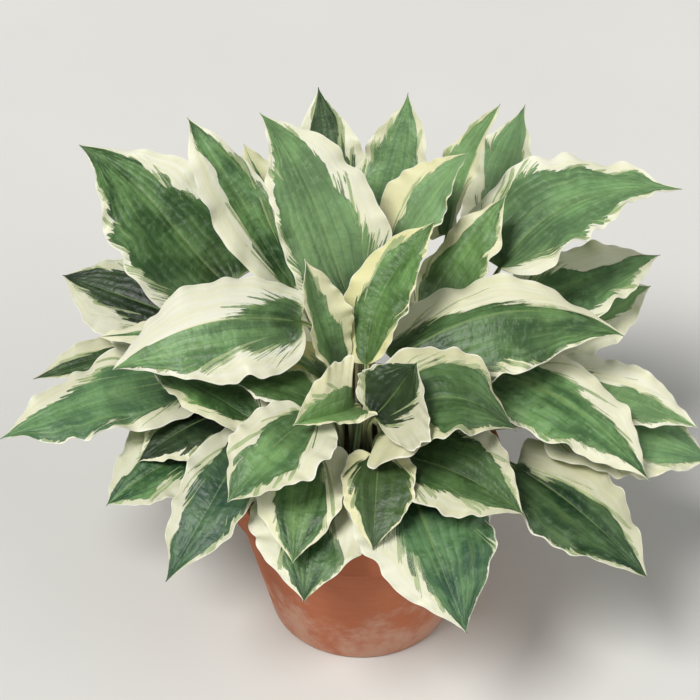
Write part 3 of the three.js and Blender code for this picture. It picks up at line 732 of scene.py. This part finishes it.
class LeafShader(Shader):
    """Green in the middle and cream along the edge. The border is torn into pointed teeth that run
    out and forward, with a paler green where only one of the leaf's layers is green."""

    def __init__(self):
        """Reads the mesh's numbers and makes the noise that several colours share."""
        super().__init__("leaf_blade")
        across = self.attribute("across")
        self.out = self.math("ABSOLUTE", across)
        self.side = self.math("SIGN", across)
        self.along = self.attribute("along")
        self.reach = self.attribute("reach")
        self.lane = self.attribute("lane")
        self.vein = self.attribute("vein")
        self.seed = self.attribute("seed")
        self.shade = self.attribute("shade")
        self.strokiness = self.attribute("strokes")
        self.blade = self.step(self.along, -0.02, 0.06)
        self.mottle = self.veined(0.9, 0.12, 5, roughness=0.6)
        self.streak = self.veined(1.5, 0.016, 8, detail=3)

    def veined(self, across, along, salt, **settings):
        """Noise drawn out along the veins, with so many beats to a vein and to a millimetre."""
        place = self.vector(self.vein * across, self.reach * along, self.seed + salt)
        return self.noise(place, **settings)

    def lanes(self, width, salt):
        """Splits the surface into lanes so many millimetres wide: how far a point is from the middle
        of its lane, 0 to 0.5, and a number between 0 and 1 that the whole lane shares."""
        number = self.math("FLOOR", self.lane / width)
        within = self.math("ABSOLUTE", self.lane / width - number - 0.5)
        return within, self.white(self.vector(number + 57 * self.side, salt, self.seed))

    def teeth(self, width, length, salt):
        """How far the green reaches out in each lane: mostly a little, now and then a long way,
        and in a point."""
        within, chance = self.lanes(width, salt)
        return (chance**3 - 0.12 - within * 0.5) * length

    def slits(self, width, length, salt):
        """How far the white reaches in, as a few narrow wedges."""
        within, chance = self.lanes(width, salt)
        return self.math("MAXIMUM", chance**6 - 0.1 - within * 1.1, 0.0) * length

    def strokes(self, width, salt):
        """Green strokes that run out from the heel over the white, each with its own length."""
        within, chance = self.lanes(width, salt)
        unspent = chance**4 * 0.34 * self.strokiness - self.along - within * 0.3
        return self.step(unspent, 0, 0.02) * (1 - self.step(self.out, 0.7, 0.85))

    def drift(self, scale, salt):
        """A slow wander along each half of the leaf, between about -0.3 and 0.3."""
        place = self.vector(self.side * 5, self.reach * scale, self.seed + salt)
        return (self.noise(place) - 0.5) * 1.2

    def border(self):
        """How far a point is inside the torn border, where the green is deep and where it is pale."""
        tear = 0.2 + 0.95 * self.step(self.drift(0.02, 70), -0.08, 0.1)
        torn = tear * (0.5 + 0.5 * self.strokiness)
        edge = self.attribute("room") + self.drift(0.035, 40) * 0.25
        away = 0.25 + 0.75 * self.step(self.along, 0.08, 0.32)
        small = self.teeth(2.6, 0.13, 17) - self.slits(3.6, 0.6, 23)
        toothed = edge + (self.teeth(6.0, 0.34, 3) + small * away) * torn
        deep = self.math("MAXIMUM", self.step(toothed, 0, 0.015), self.strokes(12.0, 47))
        loose = edge + self.drift(0.06, 90) * 0.3 + 0.02
        loose_teeth = self.teeth(4.4, 0.4, 61) + self.teeth(1.9, 0.14, 29)
        return toothed, deep, self.step(loose + loose_teeth * away, 0, 0.015)

    def green(self, toothed):
        """The deep green: broad clouds, then light and dark puckers between the veins and strokes
        along them, then the leaf's own hue, and its shade, which is its own tone plus painted light
        and shade. Painted shade darkens it towards the heel, a little painted light lifts it towards
        the tip, and it is darker at the border."""
        clouds = self.veined(0.35, 0.024, 2, detail=1)
        green = self.mix(self.step(clouds, 0.3, 0.7), linear(36, 72, 33), linear(105, 143, 84))
        for field, low, strength, colour in (
            (self.mottle, 0.48, 0.45, linear(124, 158, 112)),
            (1 - self.mottle, 0.52, 0.45, linear(36, 72, 38)),
            (self.streak, 0.52, 0.4, linear(134, 164, 96)),
            (1 - self.streak, 0.52, 0.5, linear(34, 68, 36)),
        ):
            green = self.mix(self.step(field, low, 0.72) * strength, green, colour)
        hue = self.attribute("hue")
        green = self.mix(self.clamp(hue) * 0.6, green, linear(104, 138, 52))
        green = self.mix(self.clamp(-hue) * 0.6, green, linear(56, 104, 88))
        # Above a shade of 1 the green turns paler: its own tone and painted light.
        green = self.mix(self.clamp(self.shade - 1) * 0.5, green, linear(150, 184, 126))
        border = 1 - 0.25 * (1 - self.step(toothed, 0.0, 0.06))
        # Painted shade: darker towards the heel, which the leaves above shade, and a little painted light
        # towards the tip.
        heel = 1.12 - 0.6 * (1 - self.step(self.along, -0.05, 0.5))
        tone_and_painted_shade = self.math("MINIMUM", self.shade, 1.0) * heel * border
        return self.mix(1.0, green, tone_and_painted_shade, "MULTIPLY")

    def cream(self):
        """The white, as yellow and as light as the leaf's own numbers say; its lightness is its own tone
        and painted shade.
        """
        streaky = self.step(self.streak, 0.35, 0.65)
        white = self.mix(streaky, linear(239, 239, 221), linear(233, 232, 204))
        cream = self.mix(self.attribute("cream"), white, linear(222, 215, 144))
        # Painted shade: the white is dimmed on leaves that lie in shade, besides its own tone.
        return self.mix(1.0, cream, self.attribute("pallor"), "MULTIPLY")

    def ribbed(self, colour, deep):
        """The colour with a paler midrib and painted shade as darker lines in the vein grooves of the
        green.
        """
        half_rib = 0.03 * (1 - self.along) + 0.006
        rib = (1 - self.step(self.out / half_rib, 0.4, 1.0)) * self.blade
        colour = self.mix(rib * 0.4, colour, linear(150, 172, 106))
        line = self.math("ABSOLUTE", self.math("FRACT", self.vein + 0.5) - 0.5)
        # Painted shade: darker lines in the vein grooves of the green.
        groove_shade = (1 - self.step(line, 0.0, 0.1)) * self.blade * deep
        return self.mix(groove_shade * 0.3, colour, linear(28, 62, 32))

    def stalk(self):
        """The stalk's green, pale at its two edges, with painted shade that makes it dark near the soil."""
        stalk = self.mix(self.step(self.out, 0.55, 0.95), linear(98, 124, 68), linear(186, 184, 136))
        # Painted shade: the stalk darkens towards the soil, under the leaves.
        return self.mix(self.step(self.along, -1.0, -0.3), linear(44, 52, 30), stalk)


def leaf_material():
    """The leaves' material: cream under pale green under deep green, a pale rim, ribs with painted
    shade in the vein grooves, the stalk with painted shade near the soil, and a paler underside.
    The green is puckered between the veins."""
    s = LeafShader()
    toothed, deep, pale = s.border()
    green = s.green(toothed)
    pale_green = s.mix(0.3 + 0.6 * s.streak, green, linear(190, 202, 146))
    colour = s.mix(pale, s.cream(), pale_green)
    colour = s.mix(deep, colour, green)
    rim = s.step(s.out, 0.965, 0.985) * s.blade
    colour = s.mix(rim * 0.8, colour, linear(240, 238, 218))
    colour = s.mix(s.blade, s.stalk(), s.ribbed(colour, deep))
    colour = s.mix(s.attribute("under") * 0.3, colour, linear(150, 172, 136))
    puckers = s.veined(0.9, 0.14, 77)
    grain = s.veined(6, 0.05, 12)
    height = puckers * s.blade * (0.25 + 0.75 * deep) + grain * 0.12
    return s.finish(
        Base_Color=colour,
        Roughness=0.36 + 0.2 * s.mottle + 0.08 * (1 - deep),
        Normal=s.bump(height, 0.0022, 0.7),
        Specular_IOR_Level=0.45,
        Subsurface_Weight=0.1,
        Subsurface_Radius=(0.6, 1.0, 0.3),
        Subsurface_Scale=0.002,
    )


# Pot


def turned_piece(name, profile, material, segments, relief=None):
    """A turned body: the profile, [radius, height] pairs from the axis round to the axis, is swept
    once round, and relief(angle, height) is added to the radius away from the axis."""
    profile = np.array(profile, float)
    angle = np.linspace(0, TAU, segments, endpoint=False)
    radius, angle = np.meshgrid(profile[:, 0], angle, indexing="ij")
    height = np.broadcast_to(profile[:, 1:], radius.shape)
    if relief is not None:
        radius = radius + relief(angle, height) * np.minimum(radius / MARKS_START_RADIUS, 1)
    rings = np.stack([radius * np.cos(angle), radius * np.sin(angle), height], -1)
    return closed_rings(name, rings, profile[[0, -1], 1], material, sharp=50)


def rounded(corners):
    """A profile whose corners, given as [radius, height, rounding], are arcs: each corner is cut
    at the rounding's length along both its sides, and a parabola joins the cuts."""
    path = []
    for k, (radius, height, rounding) in enumerate(corners):
        here = np.array([radius, height], float)
        if rounding == 0:
            path.append(here)
            continue
        before = np.array(corners[k - 1][:2], float)
        after = np.array(corners[k + 1][:2], float)
        start = here + unit(before - here) * rounding
        end = here + unit(after - here) * rounding
        for t in np.linspace(0, 1, ROUNDING_STEPS):
            path.append((1 - t) ** 2 * start + 2 * t * (1 - t) * here + t * t * end)
    return path


def subdivided(path, step):
    """The same path with points no further apart than step."""
    dense = [path[0]]
    for a, b in zip(path, path[1:]):
        count = max(1, math.ceil(np.linalg.norm(b - a) / step))
        dense += [a + (b - a) * (k + 1) / count for k in range(count)]
    return dense


def inner_radius(height):
    """The pot's inner radius at a height."""
    taper = (POT_BODY_RADIUS - POT_BASE_RADIUS) / (POT_HEIGHT - POT_RIM_HEIGHT)
    return POT_BASE_RADIUS + taper * height - POT_WALL


def turning_marks(angle, height):
    """How far the pot stands out: fine rings in groups, which wander a little, on a wall that is
    faintly oval and faintly five-sided. All are sine waves."""
    rings = np.sin(RING_PITCH * height + RING_WANDER * np.sin(angle))
    groups = np.sin(RING_GROUP_PITCH * height + 1)
    oval = np.sin(2 * angle + 0.5)
    five_sided = np.sin(5 * angle + FIVE_SIDED_PITCH * height)
    return RING_DEPTH * rings * groups + OVAL_DEPTH * oval + FIVE_SIDED_DEPTH * five_sided - MARKS_INSET


def clay_material():
    """Unglazed clay: fine grain, faint turning lines, pale bloom low down and in patches."""
    s = Shader("terracotta")
    place = s.place()
    height = Value(s, s.node("ShaderNodeSeparateXYZ", Vector=place).outputs["Z"])
    broad = s.noise(place, scale=14.0, detail=4.0, roughness=0.6)
    grain = s.noise(place, scale=900.0, detail=3.0, roughness=0.7)
    ring = s.noise(s.place((2, 2, 240)))
    patches = s.noise(place, scale=22.0, detail=5.0, roughness=0.7)
    colour = s.mix(s.clamp(broad * 1.6 - 0.3), linear(176, 98, 66), linear(198, 122, 86))
    colour = s.mix(s.step(grain, 0.6, 0.78) * 0.35, colour, linear(226, 176, 142))
    colour = s.mix(s.step(-grain, -0.36, -0.26) * 0.4, colour, linear(126, 66, 44))
    colour = s.mix(s.clamp(ring * 1.2 - 0.35) * 0.25, colour, linear(150, 82, 56))
    bloom = s.step(patches + 3.2 * (0.1 - height), 0.56, 0.86)
    colour = s.mix(bloom * 0.4, colour, linear(222, 200, 180))
    rough = grain * 0.5 + ring * 0.6
    return s.finish(Base_Color=colour, Roughness=0.78 + 0.15 * broad, Normal=s.bump(rough, 0.0009, 0.5),
                    Specular_IOR_Level=0.3)


def make_pot():
    """The pot turned with rounded edges and faint turning marks, with drain holes cut in its floor."""
    band = POT_HEIGHT - POT_RIM_HEIGHT
    outline = rounded([
        (0, 0, 0),
        (POT_BASE_RADIUS, 0, BASE_ROUNDING),
        (POT_BODY_RADIUS, band, BAND_ROUNDING),
        (POT_RIM_RADIUS - RIM_TAPER, band, RIM_FOOT_ROUNDING),
        (POT_RIM_RADIUS, POT_HEIGHT, LIP_ROUNDING),
        (inner_radius(POT_HEIGHT), POT_HEIGHT, INNER_LIP_ROUNDING),
        (inner_radius(POT_FLOOR), POT_FLOOR, INNER_FLOOR_ROUNDING),
        (0, POT_FLOOR, 0),
    ])
    outline = subdivided(np.maximum(outline, [SMALLEST_RADIUS, 0]), POT_STEP)
    clay = clay_material()
    pot = turned_piece("clay_pot", outline, clay, POT_SEGMENTS, relief=turning_marks)
    for k in range(DRAIN_COUNT):
        angle = TAU * (k + 0.25) / DRAIN_COUNT
        centre = DRAIN_CIRCLE * np.array([math.cos(angle), math.sin(angle)])
        drill = drill_piece(centre, clay)
        cut = pot.modifiers.new("drain", "BOOLEAN")
        cut.object = drill
        cut.solver = "EXACT"
        bpy.context.view_layer.objects.active = pot
        bpy.ops.object.modifier_apply(modifier=cut.name)
        bpy.data.objects.remove(drill)
    return mount(pot, "clay", "pot")


def drill_piece(centre, material):
    """An upright round bar through the pot's floor, turned a little so that none of its edges meets
    one of the pot's."""
    profile = [[DRAIN_RADIUS, -DRILL_OVERRUN], [DRAIN_RADIUS, POT_FLOOR + DRILL_OVERRUN]]
    bar = turned_piece("drill", profile, material, DRILL_SEGMENTS)
    place = Matrix.Translation((centre[0] * MM, centre[1] * MM, 0))
    bar.data.transform(place @ Matrix.Rotation(DRILL_TURN, 4, "Z"))
    return bar


# Soil


def soil_height(radius, edge_radius):
    """The height of the soil without its lumps: level in the middle, then sloping to the edge."""
    falling = (radius - SOIL_FLAT_RADIUS).clip(0) / (edge_radius - SOIL_FLAT_RADIUS)
    return SOIL_TOP - SOIL_EDGE_DROP * falling


def lumps(x, y, waves, seed):
    """Rough heights about 0: many sine waves in random directions, the shorter ones lower."""
    draw = np.random.default_rng(seed)
    total = np.zeros_like(x)
    for _ in range(waves):
        length = draw.uniform(*LUMP_LENGTHS)
        turn = draw.uniform(0, TAU)
        shift = draw.uniform(0, TAU)
        distance = x * math.cos(turn) + y * math.sin(turn)
        total += length / LUMP_LENGTHS[1] * np.sin(TAU / length * distance + shift)
    return total / math.sqrt(waves)


def soil_material():
    """Moist potting compost: dark brown with lighter fibres and grains."""
    s = Shader("compost")
    place = s.place()
    fine = s.noise(place, scale=420.0, detail=4.0, roughness=0.7)
    broad = s.noise(place, scale=60.0, detail=3.0)
    colour = s.mix(s.clamp(fine * 1.7 - 0.4), linear(34, 24, 17), linear(78, 58, 42))
    colour = s.mix(s.clamp(broad * 1.5 - 0.6) * 0.6, colour, linear(98, 74, 54))
    colour = s.mix(s.step(fine, 0.66, 0.74) * 0.7, colour, linear(140, 112, 84))
    return s.finish(Base_Color=colour, Roughness=0.86 + 0.1 * fine, Normal=s.bump(fine, 0.0015, 0.8),
                    Specular_IOR_Level=0.25)


def make_soil():
    """The soil as a turned body: a crumbled top, level in the middle and dipping to the wall, over
    a smooth side and bottom."""
    bottom = POT_FLOOR + CLEARANCE
    edge = SOIL_TOP - SOIL_EDGE_DROP
    outer = inner_radius(edge) - CLEARANCE - SOIL_SIDE_GAP
    low = inner_radius(bottom) - CLEARANCE - SOIL_SIDE_GAP
    top = np.linspace(SMALLEST_RADIUS, outer, SOIL_RINGS)
    radius = np.concatenate([top, [outer - SOIL_SHOULDER_WIDTH, low, SMALLEST_RADIUS]])
    height = np.concatenate([soil_height(top, outer), [edge - SOIL_SHOULDER_HEIGHT, bottom, bottom]])
    angle = np.linspace(0, TAU, SOIL_SEGMENTS, endpoint=False)
    r, a = np.meshgrid(radius, angle, indexing="ij")
    x = r * np.cos(a)
    y = r * np.sin(a)
    z = np.broadcast_to(height[:, None], r.shape).copy()
    rough = LUMP_HEIGHT * lumps(x, y, waves=90, seed=5)
    rough += CLOD_HEIGHT * np.abs(lumps(x, y, waves=60, seed=6))
    z[:SOIL_RINGS] += (rough * np.minimum((outer - r) / SMOOTH_EDGE, 1))[:SOIL_RINGS]
    earth = soil_material()
    rings = np.stack([x, y, z], -1)
    soil = closed_rings("compost_bed", rings, [z[0].mean(), bottom], earth, downward=True)
    mount(soil, "earth", "soil")
    make_crumbs(earth)


def make_crumbs(material):
    """Loose crumbs and bark on the soil: small lumps, each a sphere of a few rings with its own
    three half sizes and turn, whose points are moved in or out a little, half sunk in the soil."""
    draw = np.random.default_rng(7)
    one_each = (CRUMBS, 1, 1)
    sides = np.arange(CRUMB_SIDES) * TAU / CRUMB_SIDES
    polar, around = np.meshgrid(np.linspace(0, math.pi, CRUMB_RINGS), sides, indexing="ij")
    ball = np.stack([np.sin(polar) * np.cos(around), np.sin(polar) * np.sin(around), np.cos(polar)], -1)
    ball = ball[None] * draw.uniform(*CRUMB_DENTS, (CRUMBS, CRUMB_RINGS, CRUMB_SIDES, 1))
    ball[:, 0] = ball[:, 0].mean(axis=1, keepdims=True)
    ball[:, -1] = ball[:, -1].mean(axis=1, keepdims=True)
    size = draw.uniform(*CRUMB_SIZES, (*one_each, 1))
    ball = ball * (size * draw.uniform(*CRUMB_STRETCH, (*one_each, 3)))
    turn = draw.uniform(0, TAU, one_each)
    x = np.cos(turn) * ball[..., 0] - np.sin(turn) * ball[..., 1]
    y = np.sin(turn) * ball[..., 0] + np.cos(turn) * ball[..., 1]
    angle = draw.uniform(0, TAU, one_each)
    radius = CRUMB_SPREAD_RADIUS * np.sqrt(draw.uniform(0.02, 1, one_each))
    z = ball[..., 2] + soil_height(radius, CRUMB_EDGE_RADIUS) + CRUMB_RISE
    points = np.stack([x + radius * np.cos(angle), y + radius * np.sin(angle), z], -1)
    one = grid_faces(CRUMB_RINGS, CRUMB_SIDES, around=True)[:, ::-1]
    starts = np.arange(CRUMBS)[:, None, None] * CRUMB_RINGS * CRUMB_SIDES
    faces = (one[None] + starts).reshape(-1, 4).tolist()
    crumbs = make_object("compost_crumbs", points.reshape(-1, 3), faces, material)
    mesh = bmesh.new()
    mesh.from_mesh(crumbs.data)
    bmesh.ops.remove_doubles(mesh, verts=mesh.verts, dist=1e-6)
    mesh.to_mesh(crumbs.data)
    mesh.free()
    mount(crumbs, "earth", "soil")


# Scene


def make_floor():
    """A pale, even floor, wide enough for any view."""
    s = Shader("pale_floor")
    tone = s.noise(s.place(), scale=3.0)
    s.finish(Base_Color=s.mix(tone, linear(214, 212, 206), linear(222, 220, 214)), Roughness=0.8)
    angle = np.linspace(0, TAU, FLOOR_SIDES, endpoint=False)
    rim = np.stack([np.cos(angle), np.sin(angle), 0 * angle], -1) * FLOOR_RADIUS
    floor = make_object("floor", rim, [list(range(FLOOR_SIDES))], s.material)


def soft_light(name, source, strength, spread):
    """A far, wide light that shines from source, a point in metres, towards the plant."""
    light = bpy.data.lights.new(name, "SUN")
    light.energy = strength
    light.angle = math.radians(spread)
    aim = Vector(LIT_POINT) - Vector(source)
    placed(name, light).rotation_euler = aim.to_track_quat("-Z", "Y").to_euler()


def make_camera():
    """The photograph's camera. Its focal length is given in pixels of the picture."""
    camera = bpy.data.cameras.new("camera")
    camera.sensor_width = SENSOR
    camera.lens = FOCAL_PIXELS * SENSOR / PICTURE_PIXELS
    camera.clip_end = CAMERA_REACH
    holder = placed("camera", camera)
    holder.location = CAMERA_PLACE
    holder.rotation_euler = Euler((math.radians(90 - CAMERA_ELEVATION), 0, 0))
    bpy.context.scene.camera = holder


def make_light():
    """A large soft light above and to the left of the viewer, a weak one opposite, and pale air."""
    world = bpy.data.worlds.new("air")
    world.use_nodes = True
    sky = world.node_tree.nodes["Background"]
    sky.inputs["Color"].default_value = linear(236, 240, 246)
    sky.inputs["Strength"].default_value = SKY_STRENGTH
    bpy.context.scene.world = world
    bpy.context.scene.view_settings.view_transform = "Standard"
    soft_light("key", KEY_PLACE, KEY_STRENGTH, KEY_SPREAD)
    soft_light("fill", FILL_PLACE, FILL_STRENGTH, FILL_SPREAD)


make_camera()
make_light()
make_floor()
make_pot()
make_soil()
blade_material = leaf_material()
for number, leaf in enumerate(LEAVES, 1):
    leaf_piece(read_leaf(leaf, number), blade_material)
